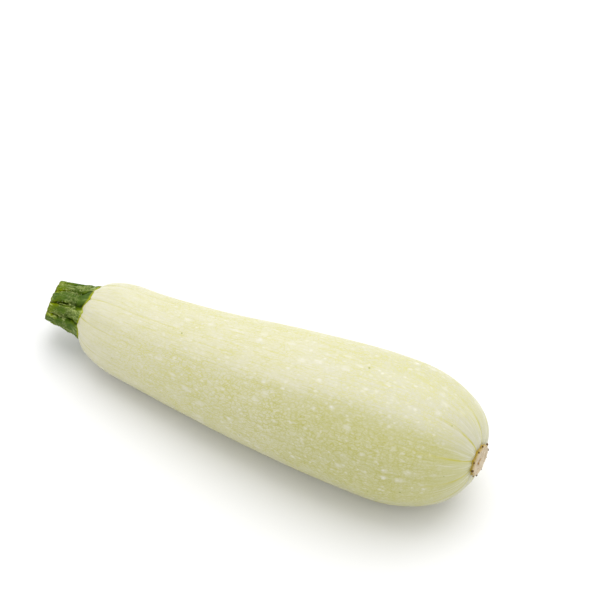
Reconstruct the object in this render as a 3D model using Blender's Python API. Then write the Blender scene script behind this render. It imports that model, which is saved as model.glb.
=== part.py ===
# A pale courgette as picked, lying on its side: the fruit, the stub of its stem, and the dry scar
# that the flower left. Metres, +Z up. The stem points towards -X and the scar towards +X.
#
# The shape is laid out along "share", which runs from 0 where the stem joins the fruit to 1 where
# the scar sits. Every cross-section stands square to X.

import math

import bmesh
import bpy
from mathutils import Matrix, Vector

# Fruit
FRUIT_LENGTH = 0.180  # from the stem's seat to the scar's seat
BELLY_RADIUS = 0.029
NECK_RADIUS = 0.0189  # radius that the flank would have at the stem, without its shoulder
STEM_SEAT_RADIUS = 0.0086
SCAR_SEAT_RADIUS = 0.0068
SHOULDER_LENGTH = 0.0205  # quarter ellipse at the stem end
DOME_LENGTH = 0.036  # quarter ellipse at the flower end
BEND = 0.0042  # how far the middle of the fruit bows towards -Y
REST_DEPTH = 0.0004  # flesh pressed flat where the fruit lies
RIB_COUNT = 10  # one between each two veins
RIB_HEIGHT = 0.01  # share of the radius, at both ends
RIB_ON_BELLY = 0.3  # share of that height left in the middle
FRUIT_RINGS = 38
FRUIT_SIDES = 80

# Stem
STEM_LENGTH = 0.0185  # along its middle
STEM_FOOT_RADIUS = 0.0112
STEM_CUT_RADIUS = 0.0084
STEM_FOOT_CLEARANCE = 0.0005  # along X, which leaves the gap square to the fruit's shoulder
STEM_LEAN = -0.07  # sideways towards +Y, per length
STEM_RISE = -0.03  # upwards, per length
STEM_CUT_SLANT = 0.36  # how far the cut leans out of square, as rise over run
STEM_CUT_TURN = math.radians(131.0)  # the short side of the slanted cut
STEM_TWIST = math.radians(12.0)  # of the ridges, from the foot to the cut
STEM_RIDGES = 5
STEM_RIDGE_HEIGHT = 0.0008
STEM_RIB_HEIGHT = 0.0004  # a lower rib lies between each two ridges
STEM_RINGS = 7
STEM_SIDES = 80

# Scar
SCAR_RADIUS = 0.0068
SCAR_THICKNESS = 0.0012
SCAR_EDGE_ROUND = 0.0003
SCAR_TEETH = 12
SCAR_TOOTH_HEIGHT = 0.0002
SCAR_SIDES = 72

# Both
VEIN_TURN = math.radians(33.0)  # the first vein, from +Y towards +Z; a stem ridge stands on it
GAP = 0.0003  # between neighbouring pieces


def clear_scene():
    for obj in list(bpy.data.objects):
        bpy.data.objects.remove(obj)


def make_material(name, colour, roughness):
    material = bpy.data.materials.new(name)
    material.use_nodes = True
    shader = material.node_tree.nodes["Principled BSDF"]
    shader.inputs["Base Color"].default_value = (*colour, 1.0)
    shader.inputs["Roughness"].default_value = roughness
    shader.inputs["Metallic"].default_value = 0.0
    return material


def mix(first, second, share):
    return first + (second - first) * share


def smooth_step(share):
    share = min(max(share, 0.0), 1.0)
    return share * share * (3.0 - 2.0 * share)


def quarter_ellipse(share):
    """Height of a quarter ellipse, from 0 at share 0 to 1, level, at share 1 and beyond."""
    share = min(max(share, 0.0), 1.0)
    return math.sqrt(1.0 - (1.0 - share) ** 2)


def flank_radius(share):
    """The fruit's slow widening from its neck to its belly, without its rounded ends."""
    belly_share = 1.0 - DOME_LENGTH / FRUIT_LENGTH
    return mix(NECK_RADIUS, BELLY_RADIUS, smooth_step(share / belly_share))


def fruit_radius(share):
    shoulder = quarter_ellipse(share * FRUIT_LENGTH / SHOULDER_LENGTH)
    dome = quarter_ellipse((1.0 - share) * FRUIT_LENGTH / DOME_LENGTH)
    radius = mix(STEM_SEAT_RADIUS, flank_radius(share), shoulder)
    return mix(SCAR_SEAT_RADIUS, radius, dome)


def shoulder_distance(radius):
    """How far along X the fruit's shoulder lies from its seat, where it has this radius."""
    share = (radius - STEM_SEAT_RADIUS) / (NECK_RADIUS - STEM_SEAT_RADIUS)
    share = min(max(share, 0.0), 1.0)
    return SHOULDER_LENGTH * (1.0 - math.sqrt(1.0 - share * share))


def spine_point(share):
    """Middle of a cross-section. The spine rises with the flank, so that the underside is level."""
    bow = BEND * (1.0 - (2.0 * share - 1.0) ** 2)
    return Vector((share * FRUIT_LENGTH, -bow, flank_radius(share) - REST_DEPTH))


def circle_angles(sides):
    return [2.0 * math.pi * side / sides for side in range(sides)]


def ring(centre, radius_at, sides):
    """A closed cross-section square to X, whose radius at each angle comes from radius_at."""
    return [
        centre + radius_at(angle) * Vector((0.0, math.cos(angle), math.sin(angle)))
        for angle in circle_angles(sides)
    ]


def slanted(points, centre, slant):
    """Leans a cross-section out of square, so that it is shortest at STEM_CUT_TURN."""
    short_side = Vector((0.0, math.cos(STEM_CUT_TURN), math.sin(STEM_CUT_TURN)))
    return [
        point + Vector((slant * (point - centre).dot(short_side), 0.0, 0.0)) for point in points
    ]


def loft(name, rings, material, flat_floor=False):
    """One closed solid through the rings, which run towards +X, with its two ends capped."""
    bm = bmesh.new()
    loops = [[bm.verts.new(point) for point in points] for points in rings]
    for loop, following in zip(loops, loops[1:]):
        for side in range(len(loop)):
            beside = (side + 1) % len(loop)
            bm.faces.new((loop[side], loop[beside], following[beside], following[side]))
    bm.faces.new(list(reversed(loops[0])))
    bm.faces.new(loops[-1])
    if flat_floor:
        cut_level(bm)
    bmesh.ops.recalc_face_normals(bm, faces=bm.faces)
    mesh = bpy.data.meshes.new(name)
    bm.to_mesh(mesh)
    bm.free()
    mesh.shade_smooth()
    mesh.set_sharp_from_angle(angle=math.radians(35.0))
    mesh.materials.append(material)
    obj = bpy.data.objects.new(name, mesh)
    bpy.context.scene.collection.objects.link(obj)
    return obj


def cut_level(bm):
    """Takes off what lies below z = 0 and closes the cut with one flat face."""
    everything = bm.verts[:] + bm.edges[:] + bm.faces[:]
    cut = bmesh.ops.bisect_plane(
        bm, geom=everything, plane_co=(0, 0, 0), plane_no=(0, 0, -1), clear_outer=True
    )
    rim = [item for item in cut["geom_cut"] if isinstance(item, bmesh.types.BMEdge)]
    bmesh.ops.contextual_create(bm, geom=rim)


def build_fruit():
    material = make_material("fruit_skin", (0.72, 0.73, 0.42), 0.35)
    rings = []
    for index in range(FRUIT_RINGS):
        # The rings crowd towards both ends, where the outline turns fastest.
        share = 0.5 - 0.5 * math.cos(math.pi * index / (FRUIT_RINGS - 1))
        towards_end = abs(2.0 * share - 1.0) ** 3
        rib_height = RIB_HEIGHT * mix(RIB_ON_BELLY, 1.0, towards_end)

        def radius_at(angle, share=share, rib_height=rib_height):
            rib = -rib_height * math.cos(RIB_COUNT * (angle - VEIN_TURN))
            return fruit_radius(share) * (1.0 + rib)

        rings.append(ring(spine_point(share), radius_at, FRUIT_SIDES))
    return loft("fruit", rings, material, flat_floor=True)


def build_stem():
    material = make_material("stem_rind", (0.13, 0.25, 0.06), 0.5)
    seat = spine_point(0.0)
    rings = []
    for index in range(STEM_RINGS):
        to_cut = 1.0 - index / (STEM_RINGS - 1)
        radius = mix(STEM_FOOT_RADIUS, STEM_CUT_RADIUS, to_cut)

        def radius_at(angle, radius=radius, to_cut=to_cut):
            turn = STEM_RIDGES * (angle - VEIN_TURN - STEM_TWIST * to_cut)
            ridge = STEM_RIDGE_HEIGHT * math.cos(turn)
            rib = STEM_RIB_HEIGHT * math.cos(2.0 * turn)
            return radius + ridge + rib

        distance = STEM_LENGTH * to_cut
        centre = seat + Vector((-GAP - distance, STEM_LEAN * distance, STEM_RISE * distance))
        rings.append(slanted(ring(centre, radius_at, STEM_SIDES), centre, STEM_CUT_SLANT * to_cut))
    rim = rings.pop()
    for outward in (1.0, 0.5, 0.0):
        rings.append(foot_ring(rim, seat, outward))
    return loft("stem", rings, material)


def foot_ring(rim, seat, outward):
    """A ring of the stem's foot, which fits the fruit's shoulder from its seat out to the rim."""
    points = []
    for point in rim:
        arm = Vector((0.0, point.y - seat.y, point.z - seat.z))
        radius = mix(STEM_SEAT_RADIUS, arm.length, outward)
        distance = shoulder_distance(radius) - STEM_FOOT_CLEARANCE
        points.append(seat + radius * arm.normalized() + Vector((distance, 0.0, 0.0)))
    return points


def build_scar():
    material = make_material("scar_cork", (0.62, 0.48, 0.30), 0.8)
    seat = spine_point(1.0)
    # (distance from the seat, radius) of the disc's rings
    profile = (
        (GAP, SCAR_RADIUS),
        (GAP + SCAR_THICKNESS - SCAR_EDGE_ROUND, SCAR_RADIUS),
        (GAP + SCAR_THICKNESS, SCAR_RADIUS - SCAR_EDGE_ROUND),
    )
    rings = []
    for distance, radius in profile:

        def radius_at(angle, radius=radius):
            return radius + SCAR_TOOTH_HEIGHT * math.cos(SCAR_TEETH * angle)

        rings.append(ring(seat + Vector((distance, 0.0, 0.0)), radius_at, SCAR_SIDES))
    return loft("blossom_scar", rings, material)


def centre_on_origin(pieces):
    """Moves the pieces together, so that the middle of their footprint is at the origin."""
    corners = [vertex.co for piece in pieces for vertex in piece.data.vertices]
    low = [min(corner[axis] for corner in corners) for axis in range(2)]
    high = [max(corner[axis] for corner in corners) for axis in range(2)]
    middle = Vector(((low[0] + high[0]) / 2.0, (low[1] + high[1]) / 2.0, 0.0))
    for piece in pieces:
        piece.data.transform(Matrix.Translation(-middle))


def main():
    clear_scene()
    centre_on_origin([build_fruit(), build_stem(), build_scar()])


main()
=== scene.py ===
# A pale courgette, as picked: waxy fruit, cut stub of stem and the dry scar of its flower.
# Metres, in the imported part's own frame. +X runs from the stem to the scar, and +Z is up.
# Round a piece, angles run from +Y towards +Z.

import math

import bpy
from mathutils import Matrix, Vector


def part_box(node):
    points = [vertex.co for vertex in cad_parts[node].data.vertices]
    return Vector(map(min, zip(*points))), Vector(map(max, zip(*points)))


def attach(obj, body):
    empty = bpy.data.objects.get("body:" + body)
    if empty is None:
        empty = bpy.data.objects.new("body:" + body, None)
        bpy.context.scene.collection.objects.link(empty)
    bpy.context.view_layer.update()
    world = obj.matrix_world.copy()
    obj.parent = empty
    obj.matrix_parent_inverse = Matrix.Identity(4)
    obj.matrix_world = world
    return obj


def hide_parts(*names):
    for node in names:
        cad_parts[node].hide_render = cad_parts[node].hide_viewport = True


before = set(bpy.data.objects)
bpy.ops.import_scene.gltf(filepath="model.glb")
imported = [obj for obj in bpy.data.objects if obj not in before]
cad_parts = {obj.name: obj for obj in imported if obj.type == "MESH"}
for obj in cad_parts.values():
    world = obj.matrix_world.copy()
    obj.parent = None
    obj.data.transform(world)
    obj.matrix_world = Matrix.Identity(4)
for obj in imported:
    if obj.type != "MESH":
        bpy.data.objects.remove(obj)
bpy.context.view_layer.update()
print("packed part loaded")


class Rule:
    # A value inside a node tree, so that a rule for a shape or a colour reads as a sum.
    def __init__(self, tree, socket):
        self.tree = tree
        self.socket = socket

    def step(self, operation, *others, clamp=False):
        node = self.tree.nodes.new("ShaderNodeMath")
        node.operation = operation
        node.use_clamp = clamp
        for socket, value in zip(node.inputs, (self, *others)):
            feed(self.tree, socket, value)
        return Rule(self.tree, node.outputs[0])

    def __add__(self, other):
        return self.step("ADD", other)

    def __sub__(self, other):
        return self.step("SUBTRACT", other)

    def __mul__(self, other):
        return self.step("MULTIPLY", other)

    def __truediv__(self, other):
        return self.step("DIVIDE", other)

    def __pow__(self, other):
        return self.step("POWER", other)

    def __neg__(self):
        return self.step("MULTIPLY", -1.0)

    def __rsub__(self, other):
        return -self + other

    __radd__ = __add__
    __rmul__ = __mul__


def feed(tree, socket, value):
    if isinstance(value, Rule):
        value = value.socket
    if isinstance(value, bpy.types.NodeSocket):
        tree.links.new(value, socket)
    else:
        socket.default_value = value


def addNode(tree, kind, inputs=None, **settings):
    node = tree.nodes.new(kind)
    for name, value in settings.items():
        setattr(node, name, value)
    for name, value in (inputs or {}).items():
        feed(tree, node.inputs[name], value)
    return node


def cos(value):
    return value.step("COSINE")


def sin(value):
    return value.step("SINE")


def clamped(value):
    return value.step("ADD", 0.0, clamp=True)


def smooth(value):  # 0 to 1, level at both ends
    share = clamped(value)
    return share * share * (3.0 - 2.0 * share)


def between(value, low, high):  # 0 at low, 1 at high, smoothly
    return smooth((value - low) / (high - low))


def blend(first, second, share):
    return first + (second - first) * share


def quarterEllipse(share):  # 0 at share 0, level at share 1 and beyond
    rest = clamped(1.0 - share)
    return (1.0 - rest * rest).step("SQRT")


def fadeOver(distance, length):  # 1 at distance 0, fading over that length
    return (distance / -length).step("EXPONENT")


def thinLine(value, width):  # 1 where a pattern crosses its middle, 0 farther off than the width
    return smooth(1.0 - (value - 0.5).step("ABSOLUTE") / width)


def joined(tree, x, y, z):
    return addNode(tree, "ShaderNodeCombineXYZ", {"X": x, "Y": y, "Z": z}).outputs[0]


def parts(tree, vector):
    node = addNode(tree, "ShaderNodeSeparateXYZ", {"Vector": vector})
    return [Rule(tree, socket) for socket in node.outputs]


def vectorMath(tree, operation, first, second=None):
    sockets = {0: first} if second is None else {0: first, 1: second}
    return addNode(tree, "ShaderNodeVectorMath", sockets, operation=operation)


def scaled(tree, vector, amount):
    node = vectorMath(tree, "SCALE", vector)
    feed(tree, node.inputs["Scale"], amount)
    return node.outputs[0]


def shifted(tree, vector, offset):
    return vectorMath(tree, "ADD", vector, offset).outputs[0]


def lengthened(tree, vector, stretch):  # draws a pattern out along Z
    x, y, z = parts(tree, vector)
    return joined(tree, x, y, z / stretch)


def noise(tree, vector, scale, detail=2.0, roughness=0.5, distortion=0.0):
    sockets = {
        "Vector": vector,
        "Scale": scale,
        "Detail": detail,
        "Roughness": roughness,
        "Distortion": distortion,
    }
    return Rule(tree, addNode(tree, "ShaderNodeTexNoise", sockets).outputs["Fac"])


def startShape(name, inputs):
    # A new tree with these named inputs. Gives the tree and its inputs as rules.
    tree = bpy.data.node_groups.new(name, "GeometryNodeTree")
    tree.interface.new_socket("Mesh", in_out="INPUT", socket_type="NodeSocketGeometry")
    tree.interface.new_socket("Mesh", in_out="OUTPUT", socket_type="NodeSocketGeometry")
    for inputName, value in inputs.items():
        kinds = {int: "NodeSocketInt", float: "NodeSocketFloat"}
        kind = kinds.get(type(value), "NodeSocketVector")
        tree.interface.new_socket(inputName, in_out="INPUT", socket_type=kind)
    source = tree.nodes.new("NodeGroupInput")
    return tree, {socket.name: Rule(tree, socket) for socket in source.outputs if socket.name}


def endShape(tree, geometry, materials):
    # materials: (material, faces or None) pairs, each laid over the one before
    smoothed = addNode(tree, "GeometryNodeSetShadeSmooth", {"Geometry": geometry})
    realized = addNode(tree, "GeometryNodeRealizeInstances", {"Geometry": smoothed.outputs[0]})
    geometry = realized.outputs[0]
    for material, faces in materials:
        sockets = {"Geometry": geometry, "Material": material}
        paint = addNode(tree, "GeometryNodeSetMaterial", sockets)
        if faces is not None:
            tree.links.new(faces, paint.inputs["Selection"])
        geometry = paint.outputs[0]
    tree.links.new(geometry, tree.nodes.new("NodeGroupOutput").inputs[0])


def makePiece(name, tree, sizes, startMesh=None):
    # Runs the tree with these sizes and leaves a plain mesh.
    mesh = startMesh or bpy.data.meshes.new(name)
    piece = bpy.data.objects.new(name, mesh)
    bpy.context.scene.collection.objects.link(piece)
    modifier = piece.modifiers.new("shape", "NODES")
    modifier.node_group = tree
    for item in tree.interface.items_tree:
        if item.in_out == "INPUT" and item.name in sizes:
            modifier[item.identifier] = sizes[item.name]
    graph = bpy.context.evaluated_depsgraph_get()
    made = bpy.data.meshes.new_from_object(
        piece.evaluated_get(graph), preserve_all_data_layers=True, depsgraph=graph
    )
    piece.modifiers.remove(modifier)
    made.name = name
    piece.data = made
    print(f"{name}: {len(made.polygons)} faces")
    return piece


def keepPlace(tree, geometry, name, value, kind="FLOAT_VECTOR"):
    # Stores a value on the points, for the material to read.
    store = addNode(
        tree,
        "GeometryNodeStoreNamedAttribute",
        {"Geometry": geometry, "Name": name, "Value": value},
        data_type=kind,
        domain="POINT",
    )
    return store.outputs[0]


def roundBlank(tree, sides, rings, capRings):
    # A closed unit cylinder along Z: the blank that every grown piece is shaped from.
    return addNode(
        tree,
        "GeometryNodeMeshCylinder",
        {
            "Vertices": sides,
            "Side Segments": rings,
            "Fill Segments": capRings,
            "Radius": 1.0,
            "Depth": 1.0,
        },
        fill_type="TRIANGLE_FAN",
    )


def blankPlace(tree):
    # The angle round the blank, how far out a point is (1 on its side), and 0 to 1 along it.
    position = tree.nodes.new("GeometryNodeInputPosition").outputs[0]
    x, y, z = parts(tree, position)
    outward = (x * x + y * y).step("SQRT")
    angle = y.step("ARCTAN2", x)
    return angle, outward, clamped(z + 0.5)


def moveTo(tree, geometry, x, y, z):
    moved = {"Geometry": geometry, "Position": joined(tree, x, y, z)}
    return addNode(tree, "GeometryNodeSetPosition", moved).outputs[0]


def startEffect(name, inputs, output):
    tree = bpy.data.node_groups.new(name, "ShaderNodeTree")
    for inputName, value in inputs.items():
        kind = "NodeSocketVector" if value is None else "NodeSocketFloat"
        socket = tree.interface.new_socket(inputName, in_out="INPUT", socket_type=kind)
        if value is not None:
            socket.default_value = value
    tree.interface.new_socket(output, in_out="OUTPUT", socket_type="NodeSocketFloat")
    source = tree.nodes.new("NodeGroupInput")
    return tree, {socket.name: Rule(tree, socket) for socket in source.outputs if socket.name}


def endEffect(tree, value):
    feed(tree, tree.nodes.new("NodeGroupOutput").inputs[0], value)
    return tree


def makeStreaks():
    tree, given = startEffect(
        "lengthwise streaks",
        {"Place": None, "Per Metre": 1000.0, "Stretch": 10.0, "Low": 0.4, "High": 0.62},
        "Streak",
    )
    place = lengthened(tree, given["Place"], given["Stretch"])
    value = noise(tree, place, given["Per Metre"], detail=3.0, roughness=0.6, distortion=0.3)
    return endEffect(tree, between(value, given["Low"], given["High"]))


def makeMottle():
    tree, given = startEffect(
        "mottle", {"Place": None, "Per Metre": 50.0, "Low": 0.35, "High": 0.65}, "Mottle"
    )
    value = noise(tree, given["Place"], given["Per Metre"], detail=2.5, roughness=0.55)
    return endEffect(tree, between(value, given["Low"], given["High"]))


def makeFlecks():
    tree, given = startEffect(
        "flecks",
        {
            "Place": None,
            "Per Metre": 300.0,
            "Stretch": 1.5,
            "Cover": 0.5,
            "Radius": 0.2,
            "Edge": 0.5,
            "Sway": 0.2,
        },
        "Fleck",
    )
    place = lengthened(tree, given["Place"], given["Stretch"])
    sockets = {"Vector": place, "Scale": given["Per Metre"] * 1.7}
    wander = addNode(tree, "ShaderNodeTexNoise", sockets).outputs["Color"]
    offset = vectorMath(tree, "SUBTRACT", wander, (0.5, 0.5, 0.5)).outputs[0]
    moved = shifted(tree, place, scaled(tree, offset, given["Sway"] / given["Per Metre"]))
    sockets = {"Vector": moved, "Scale": given["Per Metre"]}
    cells = addNode(tree, "ShaderNodeTexVoronoi", sockets)
    luck, size, _ = parts(tree, cells.outputs["Color"])
    radius = given["Radius"] * (0.45 + 0.75 * size)
    present = luck.step("LESS_THAN", given["Cover"])
    reach = 1.0 - Rule(tree, cells.outputs["Distance"]) / radius
    return endEffect(tree, smooth(reach / given["Edge"]) * present)


def makeNet():
    tree, given = startEffect(
        "net of fine lines",
        {"Place": None, "Per Metre": 900.0, "Stretch": 2.0, "Width": 0.12},
        "Line",
    )
    place = lengthened(tree, given["Place"], given["Stretch"])
    cells = addNode(
        tree,
        "ShaderNodeTexVoronoi",
        {"Vector": place, "Scale": given["Per Metre"]},
        feature="DISTANCE_TO_EDGE",
    )
    line = 1.0 - Rule(tree, cells.outputs["Distance"]) / given["Width"]
    return endEffect(tree, smooth(line))


effects = {
    "streaks": makeStreaks(),
    "mottle": makeMottle(),
    "flecks": makeFlecks(),
    "net": makeNet(),
}
print("shared effects built")


def effect(tree, name, place, **values):
    node = tree.nodes.new("ShaderNodeGroup")
    node.node_tree = effects[name]
    feed(tree, node.inputs["Place"], place)
    for key, value in values.items():
        label = {"perMetre": "Per Metre"}.get(key, key.capitalize())
        feed(tree, node.inputs[label], value)
    return Rule(tree, node.outputs[0])


def startMaterial(name):
    material = bpy.data.materials.new(name)
    material.use_nodes = True
    return material, material.node_tree, material.node_tree.nodes["Principled BSDF"]


def attribute(tree, name):
    return addNode(tree, "ShaderNodeAttribute", attribute_name=name)


def mixed(tree, share, first, second):
    # Colour mix. Each colour is (red, green, blue) or another mix.
    node = addNode(tree, "ShaderNodeMix", {"Factor": share}, data_type="RGBA")
    for socket, colour in ((node.inputs[6], first), (node.inputs[7], second)):
        if isinstance(colour, tuple):
            colour = (*colour, 1.0)
        feed(tree, socket, colour)
    return node.outputs[2]


def relief(tree, shader, height, distance):
    bump = addNode(tree, "ShaderNodeBump", {"Height": height, "Distance": distance, "Strength": 1.0})
    tree.links.new(bump.outputs[0], shader.inputs["Normal"])


scarLow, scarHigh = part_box("blossom_scar")
fruitLow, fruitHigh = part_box("fruit")
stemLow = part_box("stem")[0]
axisY = (scarLow.y + scarHigh.y) / 2.0  # of both ends of the fruit
veinTurn = math.radians(33.0)  # the first of the veins, which the stem's ridges run into
veinCount = 10

fruit = {
    "Length": fruitHigh.x - fruitLow.x,
    "Stem Seat X": fruitLow.x,
    "Axis Y": axisY,
    "Belly Radius": 0.029,
    "Neck Radius": 0.0189,
    "Stem Seat Radius": 0.0086,
    "Scar Seat Radius": 0.0068,
    "Shoulder Length": 0.0205,
    "Dome Length": 0.036,
    "Bend": 0.0042,
    "Rest Depth": 0.0004,
    "Rib Height": 0.01,
    "Rib On Belly": 0.3,
    "Groove Depth": 0.00035,
    "Stem Groove Length": 0.010,
    "Scar Groove Length": 0.007,
    "Flute Height": 0.0011,
    "Stem Flute Length": 0.012,
    "Scar Flute Length": 0.006,
    "Pucker": 0.0005,
    "Pucker Length": 0.0012,
    "Lump Height": 0.0006,
    "Sides": 256,
    "Rings": 220,
}


def fruitRadius(given, share):
    # The plain outline, and the flank it would have without its rounded ends.
    bellyShare = 1.0 - given["Dome Length"] / given["Length"]
    flank = blend(given["Neck Radius"], given["Belly Radius"], smooth(share / bellyShare))
    shoulder = quarterEllipse(share * given["Length"] / given["Shoulder Length"])
    dome = quarterEllipse((1.0 - share) * given["Length"] / given["Dome Length"])
    radius = blend(given["Stem Seat Radius"], flank, shoulder)
    return blend(given["Scar Seat Radius"], radius, dome), flank


def buildFruit(material):
    tree, given = startShape("fruit shape", fruit)
    blank = roundBlank(tree, given["Sides"], given["Rings"], 1)
    angle, outward, step = blankPlace(tree)
    share = 0.5 - 0.5 * cos(step * math.pi)  # rings crowd towards both ends
    radius, flank = fruitRadius(given, share)
    fromStem = share * given["Length"]
    fromScar = given["Length"] - fromStem

    # Where a point is on the skin: round at the belly's radius, and along its outline.
    drawnIn = (flank - radius) * (2.0 * share.step("GREATER_THAN", 0.5) - 1.0)
    wideCos = cos(angle) * given["Belly Radius"]
    wideSin = sin(angle) * given["Belly Radius"]
    skinPlace = joined(tree, wideCos, wideSin, fromStem + drawnIn)
    geometry = keepPlace(tree, blank.outputs["Mesh"], "skinPlace", skinPlace)

    towardsEnd = (2.0 * share - 1.0).step("ABSOLUTE") ** 3.0
    vein = cos((angle - veinTurn) * veinCount)
    rib = 1.0 - vein * given["Rib Height"] * blend(given["Rib On Belly"], 1.0, towardsEnd)
    grooved = fadeOver(fromStem, given["Stem Groove Length"])
    grooved = clamped(grooved + fadeOver(fromScar, given["Scar Groove Length"]))
    groove = clamped(vein) ** 9.0 * given["Groove Depth"] * grooved
    fluting = noise(tree, joined(tree, cos(angle), sin(angle), fromStem * 12.0), 5.5, 1.0)
    fluted = fadeOver(fromStem, given["Stem Flute Length"])
    fluted = fluted + 0.7 * fadeOver(fromScar, given["Scar Flute Length"])
    flutes = (fluting - 0.5) * given["Flute Height"] * fluted
    lumps = (noise(tree, skinPlace, 38.0, 1.0) - 0.5) * given["Lump Height"]
    lumps = lumps * between(fromStem, 0.0, 0.02)
    reach = (radius * rib - groove + flutes + lumps) * outward

    bow = given["Bend"] * (1.0 - (2.0 * share - 1.0) ** 2.0)
    puckered = (0.5 - 0.5 * vein) * given["Pucker"] * outward
    x = given["Stem Seat X"] + fromStem - puckered * fadeOver(fromStem, given["Pucker Length"])
    x = x + 0.6 * puckered * fadeOver(fromScar, given["Pucker Length"])
    y = given["Axis Y"] - bow + reach * cos(angle)
    z = flank - given["Rest Depth"] + reach * sin(angle)
    geometry = moveTo(tree, geometry, x, y, z.step("MAXIMUM", 0.0))
    endShape(tree, geometry, [(material, None)])
    return makePiece("fruitSkin", tree, fruit)


skinColours = {
    "cream": (0.582, 0.562, 0.440),
    # painted shade towards the flower end
    "endShade": (0.495, 0.483, 0.378),
    # the greener colour, also darkened as painted shade of the lower front flank
    "greenAndShade": (0.468, 0.460, 0.222),
    "fleck": (0.635, 0.620, 0.545),
    "net": (0.500, 0.482, 0.140),
    # the net's colour on the lower front flank, darker as painted shade
    "deepNet": (0.395, 0.380, 0.085),
    "vein": (0.460, 0.435, 0.070),
    "pin": (0.21, 0.24, 0.02),
}
skinPatterns = {
    # Broad colour
    "broad": ("mottle", dict(perMetre=26.0)),
    "patchy": ("mottle", dict(perMetre=110.0)),
    "bands": ("streaks", dict(perMetre=150.0, stretch=12.0, low=0.36, high=0.64)),
    "broadStreak": ("streaks", dict(perMetre=420.0, stretch=9.0)),
    # Fine lines
    "fineStreak": ("streaks", dict(perMetre=1100.0, stretch=18.0, low=0.50, high=0.68)),
    "hair": ("streaks", dict(perMetre=3200.0, stretch=22.0, low=0.44, high=0.66)),
    "net": ("net", dict(perMetre=820.0, stretch=1.8, width=0.15)),
    "fineNet": ("net", dict(perMetre=1250.0, stretch=2.6, width=0.12)),
    # Pale flecks, and where they gather
    "large": ("flecks", dict(perMetre=200.0, stretch=1.6, cover=0.9, radius=0.36, edge=0.8, sway=0.16)),
    "middling": ("flecks", dict(perMetre=430.0, stretch=1.45, cover=0.75, radius=0.44, edge=1.0, sway=0.2)),
    "small": ("flecks", dict(perMetre=1000.0, stretch=2.3, cover=0.95, radius=0.6, edge=1.2, sway=0.5)),
    "rows": ("streaks", dict(perMetre=170.0, stretch=8.0, low=0.34, high=0.52)),
    "chains": ("mottle", dict(perMetre=260.0, low=0.40, high=0.60)),
    "drawn": ("streaks", dict(perMetre=800.0, stretch=26.0, low=0.50, high=0.72)),
    # Veins and olive pinpricks
    "drift": ("mottle", dict(perMetre=90.0, low=0.3, high=0.7)),
    "pins": ("flecks", dict(perMetre=95.0, stretch=1.0, cover=0.35, radius=0.055, edge=0.6, sway=0.0)),
}
skin = {
    "greenShadeSide": math.radians(168.0),  # the lower front flank: greener, partly its own colour and partly painted shade
    "paleHighlightSide": math.radians(103.0),  # the upper flank: paler, partly its own colour and partly painted highlight
    # Painted shade: the skin darkens towards the flower end, between these two distances.
    "endShadeFrom": 0.085,  # from the stem, along the skin
    "endShadeTo": 0.150,
    "netSway": 0.0016,
    "netShare": 0.76,
    "fineNetShare": 0.36,
    "streakShare": 0.42,
    "hairShare": 0.22,
    "largeShare": 0.50,
    "smallShare": 0.36,
    "pinShare": 0.8,
    "reliefHeight": 0.00007,
}


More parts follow.
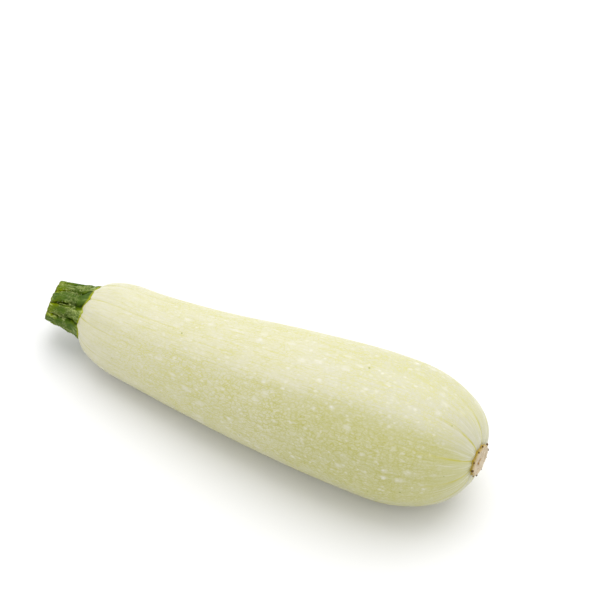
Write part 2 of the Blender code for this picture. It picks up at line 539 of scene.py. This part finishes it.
def makeSkin():
    material, tree, shader = startMaterial("waxySkin")
    place = attribute(tree, "skinPlace").outputs["Vector"]
    across, up, along = parts(tree, place)
    angle = up.step("ARCTAN2", across)
    fromScar = fruit["Length"] - along
    awayFromStem = between(along, 0.004, 0.050)
    nearScar = fadeOver(fromScar, 0.012)

    def pattern(name, where=place):
        kind, sizes = skinPatterns[name]
        return effect(tree, kind, where, **sizes)

    # Broad colour: a paler upper flank and a greener, darker lower front flank, partly the skin's own
    # colour and partly painted highlight and painted shade, with soft bands along the length.
    patchy = pattern("patchy")
    broadStreak = pattern("broadStreak")
    turnedToGreenShade = cos(angle - skin["greenShadeSide"]) + 0.05 * (broadStreak - 0.5)
    turnedToGreenShade = turnedToGreenShade - 0.11 * (1.0 - between(along, 0.100, 0.140))
    onGreenShadeSide = 0.35 * between(turnedToGreenShade, 0.60, 0.70) + 0.65 * between(turnedToGreenShade, 0.50, 0.97)
    onPaleHighlightSide = between(cos(angle - skin["paleHighlightSide"]), 0.80, 0.98)
    byFlank = 0.06 + 0.60 * onGreenShadeSide - 0.18 * onPaleHighlightSide
    greenness = 0.10 * pattern("broad") + 0.08 * patchy
    greenness = greenness + 0.17 * pattern("bands") * awayFromStem + 0.11 * broadStreak
    greenness = greenness + between(along, 0.0, 0.17) * byFlank
    # Painted shade: the skin darkens towards the flower end.
    endShadeShare = 0.9 * between(along, skin["endShadeFrom"], skin["endShadeTo"])
    colour = mixed(tree, endShadeShare, skinColours["cream"], skinColours["endShade"])
    colour = mixed(tree, clamped(greenness), colour, skinColours["greenAndShade"])
    colour = mixed(tree, 0.15 * (1.0 - between(along, 0.0, 0.06)), colour, skinColours["fleck"])

    # Fine lines along the length, and between the flecks a net of them.
    fineStreak = pattern("fineStreak")
    hair = pattern("hair")
    wavy = (noise(tree, place, 420.0, 2.0) - 0.5) * skin["netSway"]
    swayed = shifted(tree, place, joined(tree, wavy, wavy, wavy))
    net = pattern("net", swayed) * skin["netShare"]
    net = clamped(net + pattern("fineNet", swayed) * skin["fineNetShare"])
    # The net is darker on the lower front flank as painted shade, and fainter on the upper flank as painted
    # highlight.
    netDeepeningInShade = onGreenShadeSide * between(along, 0.03, 0.12)
    netColour = mixed(tree, netDeepeningInShade, skinColours["net"], skinColours["deepNet"])
    onNet = blend(0.36, 1.0, awayFromStem) * (1.0 - 0.3 * nearScar)
    onNet = onNet * (0.65 + 0.35 * patchy - 0.38 * onPaleHighlightSide)
    colour = mixed(tree, net * onNet, colour, netColour)
    streaked = clamped(fineStreak * skin["streakShare"] + hair * skin["hairShare"])
    colour = mixed(tree, streaked, colour, netColour)

    # Pale flecks of three sizes; the large ones stand in rows.
    flecks = pattern("large") * pattern("rows") * skin["largeShare"]
    flecks = flecks + pattern("middling") * (0.27 + 0.45 * pattern("chains"))
    flecks = flecks + pattern("small") * skin["smallShare"]
    flecks = flecks * blend(0.35, 1.0, awayFromStem) * (1.0 - 0.5 * nearScar)
    flecks = clamped(flecks + 0.22 * pattern("drawn") * nearScar)
    colour = mixed(tree, flecks, colour, skinColours["fleck"])

    # The veins under the skin show at both ends, and olive pinpricks here and there.
    vein = clamped(cos((angle - veinTurn) * veinCount))
    lines = vein**90.0 * fadeOver(along, 0.030) + 0.7 * vein**40.0 * fadeOver(fromScar, 0.012)
    shown = clamped(lines * (0.2 + 0.8 * pattern("drift")))
    colour = mixed(tree, shown, colour, skinColours["vein"])
    colour = mixed(tree, pattern("pins") * skin["pinShare"], colour, skinColours["pin"])

    feed(tree, shader.inputs["Base Color"], colour)
    feed(tree, shader.inputs["Roughness"], 0.34 + 0.10 * patchy + 0.08 * flecks)
    shader.inputs["IOR"].default_value = 1.45
    shader.inputs["Coat Weight"].default_value = 0.12
    shader.inputs["Coat Roughness"].default_value = 0.22
    shader.inputs["Subsurface Weight"].default_value = 0.15
    shader.inputs["Subsurface Radius"].default_value = (1.0, 0.9, 0.4)
    shader.inputs["Subsurface Scale"].default_value = 0.0015
    height = fineStreak * -0.4 + hair * 0.3 - flecks * 0.7 + patchy * 0.8
    relief(tree, shader, height, skin["reliefHeight"])
    return material


fruitSkin = buildFruit(makeSkin())
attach(fruitSkin, "root")
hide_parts("fruit")


stemCutRadius = 0.0084
stemSlant = 0.36  # how far the cut leans out of square, as rise over run
stem = {
    "Cut X": stemLow.x + stemSlant * 1.1 * stemCutRadius,  # at the middle of the slanted cut
    "Cut Slant": stemSlant,
    "Cut Turn": math.radians(131.0),  # the short side of the cut
    "Seat X": fruitLow.x,
    "Axis Y": axisY,
    "Axis Z": fruit["Neck Radius"] - fruit["Rest Depth"],
    "Cut Radius": stemCutRadius,
    "Foot Radius": 0.0110,
    "Lean": -0.07,
    "Rise": -0.03,
    "Twist": math.radians(12.0),
    "Ridges": 5.0,
    "Ridge Height": 0.0013,
    "Rib Height": 0.0009,
    "Crinkle Height": 0.0013,
    "Crinkle Sway": 0.0022,
    "Foot Flare": 0.0010,
    "Foot Spread": 0.0018,
    "Foot Wave": 0.0032,
    "Shoulder Length": fruit["Shoulder Length"],
    "Shoulder Drop": fruit["Neck Radius"] - fruit["Stem Seat Radius"],
    "Fruit Seat Radius": fruit["Stem Seat Radius"],
    "Rim Round": 0.0005,
    "Ragged Height": 0.0009,
    "Dish": 0.0007,
    "Cut Grain": 0.0008,
    "Sides": 320,
    "Rings": 120,
}
stemLength = stem["Seat X"] - stem["Cut X"]


def buildStem(rind, pith):
    tree, given = startShape("stem shape", stem)
    blank = roundBlank(tree, given["Sides"], given["Rings"], 26)
    angle, outward, step = blankPlace(tree)
    fromCut = 0.5 * step + 0.5 * smooth(step)
    length = given["Seat X"] - given["Cut X"]
    rough = given["Foot Radius"]
    place = joined(tree, cos(angle) * rough, sin(angle) * rough, fromCut * length)

    turned = (angle - veinTurn - given["Twist"] * (1.0 - fromCut)) * given["Ridges"]
    uneven = (noise(tree, place, 150.0, 1.0) - 0.5) * 1.6
    ridge = between(cos(turned + uneven), 0.05, 0.80)
    rib = between(-cos(turned + uneven), 0.30, 0.90)
    valley = (1.0 - ridge) * (1.0 - 0.85 * rib)

    # Crinkles run along the stem, wander a little, and are deepest in its valleys.
    wander = (noise(tree, place, 330.0, 2.0) - 0.5) * given["Crinkle Sway"]
    swayed = shifted(tree, place, joined(tree, wander, wander, 0.0))
    here = between(noise(tree, place, 210.0, 1.0), 0.38, 0.50)
    wave = noise(tree, lengthened(tree, swayed, 8.0), 430.0, 1.0)
    ripple = noise(tree, lengthened(tree, swayed, 7.0), 850.0, 1.0)
    crestGlint = thinLine(wave, 0.035).step("MAXIMUM", 0.8 * thinLine(ripple, 0.045)) * here
    crease = between(cos(2.0 * (turned + uneven) - 2.9), 0.82, 1.0)
    crease = crease * (0.35 + 0.65 * between(noise(tree, place, 260.0, 1.0), 0.38, 0.55))
    foldShade = noise(tree, lengthened(tree, swayed, 8.0), 460.0, 1.0, 0.5, 0.3)
    foldShade = between(foldShade, 0.37, 0.50)
    fine = noise(tree, lengthened(tree, place, 5.0), 1500.0, 2.0)
    depth = blend(0.22, 1.0, valley)
    across = noise(tree, lengthened(tree, place, 0.625), 520.0, 1.5, 0.5, 0.8)
    wrinkle = (1.0 - (2.0 * across - 1.0).step("ABSOLUTE")) ** 10.0
    wrinkle = wrinkle * here * between(fromCut, 0.30, 0.75)
    crinkle = (0.55 * crestGlint + 0.8 * foldShade - 0.8) * depth - 0.5 * crease
    crinkle = crinkle + 0.30 * wrinkle + 0.22 * (fine - 0.5)

    nearFoot = between(fromCut, 0.75, 1.0)
    radius = blend(given["Cut Radius"], given["Foot Radius"], fromCut)
    raised = given["Ridge Height"] * (ridge - 0.55) + given["Rib Height"] * rib
    radius = radius + raised * (1.0 - 0.5 * nearFoot)
    radius = radius + given["Crinkle Height"] * crinkle * (1.0 - 0.5 * nearFoot)
    lobes = 0.60 + 0.8 * (noise(tree, place, 260.0, 1.0) - 0.5)
    nearSide = 0.5 + 0.5 * cos(angle - given["Cut Turn"])
    spread = given["Foot Flare"] * lobes + given["Foot Spread"] * nearSide
    radius = radius + spread * nearFoot * nearFoot
    radius = radius + given["Foot Wave"] * (noise(tree, place, 300.0, 1.0) - 0.5) * nearFoot**6.0
    rimTurn = clamped(fromCut * length / given["Rim Round"])
    radius = radius - given["Rim Round"] * (1.0 - quarterEllipse(rimTurn))

    # The foot spreads on to the fruit's shoulder; the cut face is dished and ragged.
    share = clamped((radius - given["Fruit Seat Radius"]) / given["Shoulder Drop"])
    shoulderX = given["Shoulder Length"] * (1.0 - (1.0 - share * share).step("SQRT"))
    ragged = (noise(tree, place, 900.0, 2.0) - 0.5) * given["Ragged Height"]
    onFace = joined(tree, cos(angle) * outward, sin(angle) * outward, 0.0)
    grain = noise(tree, onFace, 9.0, 4.0, 0.65) - 0.5
    cutFace = smooth((1.0 - outward) * 6.0) * (given["Dish"] + grain * given["Cut Grain"])
    atCut = 1.0 - between(fromCut, 0.0, 0.06)
    reach = radius * outward
    slanted = given["Cut Slant"] * reach * cos(angle - given["Cut Turn"])
    x = blend(given["Cut X"], given["Seat X"], fromCut) + slanted * (1.0 - fromCut) ** 1.5
    x = x + shoulderX * nearFoot + (ragged + cutFace) * atCut
    y = given["Axis Y"] + given["Lean"] * length * (1.0 - fromCut) + reach * cos(angle)
    z = given["Axis Z"] + given["Rise"] * length * (1.0 - fromCut) + reach * sin(angle)

    geometry = keepPlace(tree, blank.outputs["Mesh"], "stemPlace", place)
    geometry = keepPlace(tree, geometry, "ridge", ridge.step("MAXIMUM", 0.8 * rib), "FLOAT")
    # Painted highlight: pale glints along the crinkle crests and the cross wrinkles, stored for the rind's
    # colour.
    pale = clamped(crestGlint * blend(0.30, 1.0, valley) + 0.35 * wrinkle) * (1.0 - crease)
    geometry = keepPlace(tree, geometry, "crestGlint", pale, "FLOAT")
    # Painted shade in the crinkles' folds and in the creases between the ridges, stored for the rind's
    # colour.
    geometry = keepPlace(tree, geometry, "foldShade", clamped((1.0 - foldShade) * valley + crease), "FLOAT")
    geometry = keepPlace(tree, geometry, "outward", outward, "FLOAT")
    geometry = moveTo(tree, geometry, x, y, z)
    endShape(tree, geometry, [(rind, None), (pith, blank.outputs["Bottom"])])
    return makePiece("stemStub", tree, stem)


rindColours = {
    "ridge": (0.066, 0.124, 0.015),
    "flank": (0.048, 0.096, 0.001),
    "valley": (0.300, 0.380, 0.002),
    # pale colour of the painted highlight on the crinkle crests
    "crestGlint": (0.64, 0.72, 0.27),
    # dark colour of the painted shade in folds and creases, also drawn in the rind's dark fibre streaks
    "foldShade": (0.006, 0.016, 0.0005),
    "foot": (0.38, 0.40, 0.004),
    "rim": (0.20, 0.17, 0.05),
}


def makeRind():
    material, tree, shader = startMaterial("stemRind")
    place = attribute(tree, "stemPlace").outputs["Vector"]
    along = parts(tree, place)[2]
    ridge = Rule(tree, attribute(tree, "ridge").outputs["Fac"])
    crestGlint = Rule(tree, attribute(tree, "crestGlint").outputs["Fac"])
    foldShade = Rule(tree, attribute(tree, "foldShade").outputs["Fac"])

    patchy = effect(tree, "mottle", place, perMetre=240.0)
    fibres = effect(tree, "streaks", place, perMetre=2400.0, stretch=7.0)
    speck = effect(tree, "mottle", place, perMetre=1700.0, low=0.45, high=0.75)
    nearCut = 1.0 - between(along, 0.0, stemLength * 0.45)
    yellowing = clamped(0.35 * patchy + 0.90 * nearCut)
    colour = mixed(tree, yellowing, rindColours["flank"], rindColours["valley"])
    colour = mixed(tree, ridge * (0.7 + 0.3 * patchy), colour, rindColours["ridge"])
    # Painted shade in the folds and creases.
    colour = mixed(tree, foldShade * 0.85, colour, rindColours["foldShade"])
    colour = mixed(tree, fibres * 0.25, colour, rindColours["foldShade"])
    # Painted highlight on the crinkle crests, and faint painted glints on the ridges.
    colour = mixed(tree, crestGlint * (0.65 + 0.35 * speck), colour, rindColours["crestGlint"])
    colour = mixed(tree, speck * ridge * 0.05, colour, rindColours["crestGlint"])
    atFoot = between(along, stemLength * 0.955, stemLength * 0.995)
    colour = mixed(tree, atFoot * 0.85, colour, rindColours["foot"])
    atRim = 1.0 - between(along, 0.0, 0.0006)
    colour = mixed(tree, atRim * 0.6, colour, rindColours["rim"])

    feed(tree, shader.inputs["Base Color"], colour)
    feed(tree, shader.inputs["Roughness"], 0.34 + 0.25 * speck)
    shader.inputs["IOR"].default_value = 1.40
    shader.inputs["Specular IOR Level"].default_value = 0.05
    relief(tree, shader, fibres * -0.6 + speck * 0.5 + crestGlint, 0.00018)
    return material


pithColours = {
    "flesh": (0.50, 0.52, 0.26),
    "dull": (0.40, 0.38, 0.18),
    "edge": (0.22, 0.27, 0.06),
    "pale": (0.60, 0.58, 0.36),
    "pore": (0.24, 0.19, 0.08),
}


def makePith():
    material, tree, shader = startMaterial("stemPith")
    place = attribute(tree, "stemPlace").outputs["Vector"]
    outward = Rule(tree, attribute(tree, "outward").outputs["Fac"])
    across, up, _ = parts(tree, place)
    flat = joined(tree, across * outward, up * outward, 0.0)
    grain = effect(tree, "mottle", flat, perMetre=900.0)
    poreSize = dict(perMetre=1500.0, stretch=1.0, cover=0.7, radius=0.3, edge=0.5)
    pores = effect(tree, "flecks", flat, **poreSize)
    broad = effect(tree, "mottle", flat, perMetre=240.0)
    colour = mixed(tree, clamped(0.2 + 0.5 * broad), pithColours["flesh"], pithColours["dull"])
    colour = mixed(tree, between(outward, 0.72, 1.0), colour, pithColours["edge"])
    colour = mixed(tree, grain * 0.35, colour, pithColours["pale"])
    colour = mixed(tree, pores * 0.45, colour, pithColours["pore"])
    feed(tree, shader.inputs["Base Color"], colour)
    feed(tree, shader.inputs["Roughness"], 0.62 + 0.2 * grain)
    relief(tree, shader, grain - pores * 0.8, 0.0002)
    return material


stemStub = buildStem(makeRind(), makePith())
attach(stemStub, "root")
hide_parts("stem")


scar = {
    "Seat X": fruitHigh.x,
    "Axis Y": axisY,
    "Axis Z": fruit["Belly Radius"] - fruit["Rest Depth"],
    "Radius": 0.0067,
    "Thickness": scarHigh.x - fruitHigh.x,
    "Waist": 0.00045,
    "Notch": 0.0003,
    "Edge Round": 0.0004,
    "Rim Height": 0.00035,
    "Dish": 0.0002,
    "Boss Height": 0.00028,
    "Face Drop": 0.0002,
    "Grain Height": 0.0005,
    "Crack Depth": 0.00022,
    "Sunk": 0.0006,  # into the dimple that it grew in
    "Sides": 160,
    "Rings": 16,
}


def buildScar(material):
    tree, given = startShape("scar shape", scar)
    blank = roundBlank(tree, given["Sides"], given["Rings"], 30)
    angle, outward, step = blankPlace(tree)
    flat = joined(tree, cos(angle) * outward, sin(angle) * outward, 0.0)
    onRing = joined(tree, cos(angle), sin(angle), step * 0.25)
    vein = cos((angle - veinTurn) * veinCount)
    notches = 0.5 * vein + 1.6 * (noise(tree, onRing, 2.4, 2.0) - 0.5)
    waist = given["Waist"] * sin(step * math.pi) * (0.6 + 0.8 * noise(tree, onRing, 6.0, 1.0))
    edge = quarterEllipse((1.0 - step) / 0.22)
    radius = given["Radius"] + given["Notch"] * notches - waist
    radius = radius - given["Edge Round"] * (1.0 - edge)
    rimHeight = between(outward, 0.72, 0.93) * (1.0 - 0.5 * between(outward, 0.93, 1.0))
    boss = 1.0 - between(outward, 0.05, 0.34)
    grain = noise(tree, flat, 6.0, 4.0, 0.62) - 0.5
    cracks = (1.0 - (2.0 * noise(tree, flat, 2.6, 2.0, 0.6, 0.8) - 1.0).step("ABSOLUTE")) ** 14.0
    face = given["Rim Height"] * rimHeight - given["Dish"] * (1.0 - rimHeight)
    face = face + given["Boss Height"] * boss
    face = face + grain * given["Grain Height"] - cracks * given["Crack Depth"]
    atFace = between(step, 0.8, 1.0)
    x = given["Seat X"] + given["Thickness"] * step + (face - given["Face Drop"]) * atFace
    x = x - given["Sunk"] * (1.0 - step)
    y = given["Axis Y"] + radius * outward * cos(angle)
    z = given["Axis Z"] + radius * outward * sin(angle)
    place = joined(
        tree,
        cos(angle) * outward * given["Radius"],
        sin(angle) * outward * given["Radius"],
        step * given["Thickness"],
    )
    geometry = keepPlace(tree, blank.outputs["Mesh"], "scarPlace", place)
    geometry = keepPlace(tree, geometry, "crack", cracks, "FLOAT")
    geometry = moveTo(tree, geometry, x, y, z)
    endShape(tree, geometry, [(material, None)])
    return makePiece("blossomScar", tree, scar)


corkColours = {
    "face": (0.56, 0.44, 0.28),
    "pale": (0.68, 0.59, 0.44),
    "brown": (0.22, 0.11, 0.02),
    "ochre": (0.44, 0.30, 0.012),
    # the painted shade at the foot of the scar, where it sinks into the skin
    "dark": (0.12, 0.075, 0.006),
}


def makeCork():
    material, tree, shader = startMaterial("scarCork")
    place = attribute(tree, "scarPlace").outputs["Vector"]
    across, up, deep = parts(tree, place)
    crack = Rule(tree, attribute(tree, "crack").outputs["Fac"])
    thickness = scar["Thickness"]
    far = (across * across + up * up).step("SQRT") / scar["Radius"]
    broad = effect(tree, "mottle", place, perMetre=420.0)
    grain = effect(tree, "mottle", place, perMetre=1700.0)
    poreSize = dict(perMetre=1300.0, stretch=1.0, cover=0.5, radius=0.26, edge=0.6)
    pores = effect(tree, "flecks", place, **poreSize)
    colour = mixed(tree, clamped(0.15 + 0.7 * broad), corkColours["face"], corkColours["pale"])
    colour = mixed(tree, grain * 0.25, colour, corkColours["pale"])
    colour = mixed(tree, pores * 0.35, colour, corkColours["brown"])
    colour = mixed(tree, clamped(crack * 0.35), colour, corkColours["brown"])
    colour = mixed(tree, between(far, 0.9, 1.0) * 0.45, colour, corkColours["ochre"])
    onWall = 1.0 - between(deep, thickness * 0.55, thickness * 0.9)
    colour = mixed(tree, onWall * (0.65 + 0.3 * broad), colour, corkColours["ochre"])
    # Painted shade where the scar sinks into the skin.
    shadeAtSkin = 1.0 - between(deep, 0.0, thickness * 0.35)
    colour = mixed(tree, shadeAtSkin * 0.6, colour, corkColours["dark"])
    feed(tree, shader.inputs["Base Color"], colour)
    feed(tree, shader.inputs["Roughness"], 0.68 + 0.2 * grain)
    relief(tree, shader, grain + broad * 0.6 - pores, 0.00015)
    return material


blossomScar = buildScar(makeCork())
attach(blossomScar, "root")
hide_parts("blossom_scar")


def chance(tree, given, low, high, turn):
    # A random number for each point, the same on each run.
    sockets = {2: low, 3: high, "Seed": given["Seed"] + float(turn)}
    node = addNode(tree, "FunctionNodeRandomValue", sockets, data_type="FLOAT")
    return Rule(tree, node.outputs[1])


# The veins end in dark beads: round the scar, in its middle, and on the cut of the stem.
scarBeads = {
    "Count": veinCount,
    "Middle": (scarHigh.x - 0.0003, axisY, scar["Axis Z"]),
    "Ring Radius": scar["Radius"],
    "Ring Spread": 0.00025,
    "Turn": veinTurn,
    "Turn Spread": 0.13,
    "Slant": 0.0,
    "Slant Turn": 0.0,
    "Bead Radius": 0.00050,
    "Bead Depth": 0.8,
    "Seed": 4,
}
middleBeads = {
    "Count": 5,
    "Middle": (scarHigh.x - 0.00018, axisY - 0.0006, scar["Axis Z"] + 0.0001),
    "Ring Radius": 0.0008,
    "Ring Spread": 0.00045,
    "Turn": 0.4,
    "Turn Spread": 0.5,
    "Slant": 0.0,
    "Slant Turn": 0.0,
    "Bead Radius": 0.00034,
    "Bead Depth": 0.45,
    "Seed": 9,
}
cutBeads = {
    "Count": veinCount,
    "Middle": (
        stem["Cut X"] + 0.0003,
        axisY + stem["Lean"] * stemLength,
        stem["Axis Z"] + stem["Rise"] * stemLength,
    ),
    "Ring Radius": 0.0068,
    "Ring Spread": 0.0004,
    "Turn": veinTurn + stem["Twist"],
    "Turn Spread": 0.12,
    "Slant": stem["Cut Slant"],
    "Slant Turn": stem["Cut Turn"],
    "Bead Radius": 0.00045,
    "Bead Depth": 0.45,
    "Seed": 2,
}


def makeBeads(name, sizes, material):
    tree, given = startShape("ring of beads", sizes)
    circle = addNode(tree, "GeometryNodeMeshCircle", {"Vertices": given["Count"], "Radius": 1.0})
    index = Rule(tree, tree.nodes.new("GeometryNodeInputIndex").outputs[0])
    turn = given["Turn"] + index * (2.0 * math.pi) / given["Count"]
    turn = turn + chance(tree, given, -1.0, 1.0, 1) * given["Turn Spread"]
    reach = given["Ring Radius"] + chance(tree, given, -1.0, 1.0, 2) * given["Ring Spread"]
    x, y, z = parts(tree, given["Middle"])
    x = x + given["Slant"] * reach * cos(turn - given["Slant Turn"])
    points = moveTo(tree, circle.outputs[0], x, y + reach * cos(turn), z + reach * sin(turn))
    bead = addNode(tree, "GeometryNodeMeshIcoSphere", {"Radius": 1.0, "Subdivisions": 3})
    size = given["Bead Radius"] * chance(tree, given, 0.65, 1.25, 3)
    long = size * chance(tree, given, 0.8, 1.5, 4)
    placed = addNode(
        tree,
        "GeometryNodeInstanceOnPoints",
        {
            "Points": points,
            "Instance": bead.outputs[0],
            "Rotation": joined(tree, turn, 0.0, 0.0),
            "Scale": joined(tree, size * given["Bead Depth"], long, size),
        },
    )
    beads = addNode(tree, "GeometryNodeRealizeInstances", {"Geometry": placed.outputs[0]})
    position = tree.nodes.new("GeometryNodeInputPosition").outputs[0]
    rough = (noise(tree, position, 1500.0, 2.0) - 0.5) * given["Bead Radius"] * 1.1
    normal = tree.nodes.new("GeometryNodeInputNormal").outputs[0]
    shaped = {"Geometry": beads.outputs[0], "Offset": scaled(tree, normal, rough)}
    endShape(tree, addNode(tree, "GeometryNodeSetPosition", shaped).outputs[0], [(material, None)])
    return makePiece(name, tree, sizes)


def makeVeinEnd(name, dark, light):
    material, tree, shader = startMaterial(name)
    place = tree.nodes.new("ShaderNodeTexCoord").outputs["Object"]
    broad = effect(tree, "mottle", place, perMetre=900.0)
    grain = effect(tree, "mottle", place, perMetre=4000.0)
    colour = mixed(tree, clamped(0.15 + 0.6 * broad), dark, light)
    feed(tree, shader.inputs["Base Color"], mixed(tree, grain * 0.3, colour, light))
    feed(tree, shader.inputs["Roughness"], 0.5 + 0.3 * grain)
    relief(tree, shader, grain, 0.0001)
    return material


scarVeinEnd = makeVeinEnd("scarVeinEnd", (0.045, 0.020, 0.004), (0.20, 0.10, 0.02))
scarMiddleCork = makeVeinEnd("scarMiddleCork", (0.28, 0.13, 0.02), (0.50, 0.30, 0.07))
stemVeinEnd = makeVeinEnd("stemVeinEnd", (0.20, 0.17, 0.06), (0.42, 0.38, 0.16))
for name, sizes, material, slot in (
    ("scarVeinEnds", scarBeads, scarVeinEnd, "scar_cork"),
    ("scarMiddle", middleBeads, scarMiddleCork, "scar_cork"),
    ("stemVeinEnds", cutBeads, stemVeinEnd, "stem_rind"),
):
    beads = makeBeads(name, sizes, material)
    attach(beads, "root")


bristles = {
    "Per Square Metre": 300000.0,
    "Length": 0.0005,
    "Width": 0.00007,
    "Lie Down": 0.6,
    "Seed": 7,
}
bristleColours = {"dark": (0.30, 0.38, 0.16), "light": (0.50, 0.55, 0.32)}


def growBristles(stemPiece, material):
    # Short stiff hairs on the stem's rind, mostly on its ridges, lying towards the cut.
    tree, given = startShape("bristles", bristles)
    source = tree.nodes["Group Input"].outputs["Mesh"]
    stored = "GeometryNodeInputNamedAttribute"
    ridge = addNode(tree, stored, {"Name": "ridge"}, data_type="FLOAT")
    place = addNode(tree, stored, {"Name": "stemPlace"}, data_type="FLOAT_VECTOR")
    along = parts(tree, place.outputs[0])[2]
    onRind = between(along, 0.0012, 0.0025) * (1.0 - between(along, 0.0145, 0.016))
    density = given["Per Square Metre"] * onRind * (0.25 + 0.75 * Rule(tree, ridge.outputs[0]))
    spreading = {"Mesh": source, "Density": density, "Seed": given["Seed"]}
    points = addNode(tree, "GeometryNodeDistributePointsOnFaces", spreading)
    cone = addNode(
        tree,
        "GeometryNodeMeshCone",
        {
            "Vertices": 6,
            "Side Segments": 2,
            "Radius Top": given["Width"] * 0.15,
            "Radius Bottom": given["Width"],
            "Depth": given["Length"],
        },
    )
    towardsCut = joined(tree, -given["Lie Down"], 0.0, 0.0)
    leaning = {"Vector": shifted(tree, points.outputs["Normal"], towardsCut)}
    turned = addNode(tree, "FunctionNodeAlignRotationToVector", leaning, axis="Z")
    size = chance(tree, given, 0.5, 1.3, 1)
    placed = addNode(
        tree,
        "GeometryNodeInstanceOnPoints",
        {
            "Points": points.outputs["Points"],
            "Instance": cone.outputs["Mesh"],
            "Rotation": turned.outputs[0],
            "Scale": joined(tree, size, size, size),
        },
    )
    endShape(tree, placed.outputs[0], [(material, None)])
    return makePiece("stemBristles", tree, bristles, stemPiece.data)


def makeBristle():
    material, tree, shader = startMaterial("stemBristle")
    place = tree.nodes.new("ShaderNodeTexCoord").outputs["Object"]
    broad = effect(tree, "mottle", place, perMetre=700.0)
    colour = mixed(tree, broad, bristleColours["dark"], bristleColours["light"])
    feed(tree, shader.inputs["Base Color"], colour)
    feed(tree, shader.inputs["Roughness"], 0.35 + 0.2 * broad)
    return material


stemBristles = growBristles(stemStub, makeBristle())
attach(stemBristles, "root")


studio = {
    "floorReach": 12.0,  # from the middle to each edge
    "floorColour": (0.8, 0.8, 0.8, 1.0),
    "surroundStrength": 1.05,
    "softboxDirection": (0.0, 0.34, 0.94),
    "softboxDistance": 1.0,
    "softboxWidth": 1.2,
    "softboxHeight": 1.4,
    "softboxPower": 8.0,
}


def buildFloor():
    mesh = bpy.data.meshes.new("floor")
    far = studio["floorReach"]
    corners = [(-far, -far, 0), (far, -far, 0), (far, far, 0), (-far, far, 0)]
    mesh.from_pydata(corners, [], [(0, 1, 2, 3)])
    floor = bpy.data.objects.new("floor", mesh)
    bpy.context.scene.collection.objects.link(floor)
    material, _, shader = startMaterial("paleFloor")
    shader.inputs["Base Color"].default_value = studio["floorColour"]
    shader.inputs["Roughness"].default_value = 0.8
    shader.inputs["Specular IOR Level"].default_value = 0.1
    mesh.materials.append(material)


def lightStudio():
    world = bpy.data.worlds.new("studio")
    world.use_nodes = True
    surround = world.node_tree.nodes["Background"]
    surround.inputs["Color"].default_value = (1.0, 1.0, 1.0, 1.0)
    surround.inputs["Strength"].default_value = studio["surroundStrength"]
    bpy.context.scene.world = world
    light = bpy.data.lights.new("overheadSoftbox", "AREA")
    light.shape = "RECTANGLE"
    light.size = studio["softboxWidth"]
    light.size_y = studio["softboxHeight"]
    light.energy = studio["softboxPower"]
    softbox = bpy.data.objects.new("overheadSoftbox", light)
    towards = Vector(studio["softboxDirection"]).normalized()
    softbox.location = towards * studio["softboxDistance"]
    softbox.rotation_euler = towards.to_track_quat("Z", "Y").to_euler()
    bpy.context.scene.collection.objects.link(softbox)
    bpy.context.scene.view_settings.view_transform = "Standard"


view = {
    "azimuth": 29.8,  # degrees round from -Y towards +X
    "elevation": 45.0,
    "distance": 0.95,
    "lens": 131.3,
    "aimFromFruit": (-0.0272, 0.0664),  # from the middle of the fruit's two ends, on the floor
}


def placeCamera():
    azimuth = math.radians(view["azimuth"])
    elevation = math.radians(view["elevation"])
    level = math.cos(elevation)
    back = Vector((math.sin(azimuth) * level, -math.cos(azimuth) * level, math.sin(elevation)))
    middleX = (fruitLow.x + fruitHigh.x) / 2.0
    aim = Vector((middleX + view["aimFromFruit"][0], axisY + view["aimFromFruit"][1], 0.0))
    camera = bpy.data.objects.new("camera", bpy.data.cameras.new("camera"))
    camera.data.lens = view["lens"]
    camera.data.sensor_width = 36.0
    camera.location = aim + back * view["distance"]
    camera.rotation_euler = back.to_track_quat("Z", "Y").to_euler()
    bpy.context.scene.collection.objects.link(camera)
    bpy.context.scene.camera = camera


buildFloor()
lightStudio()
placeCamera()
print("studio ready")
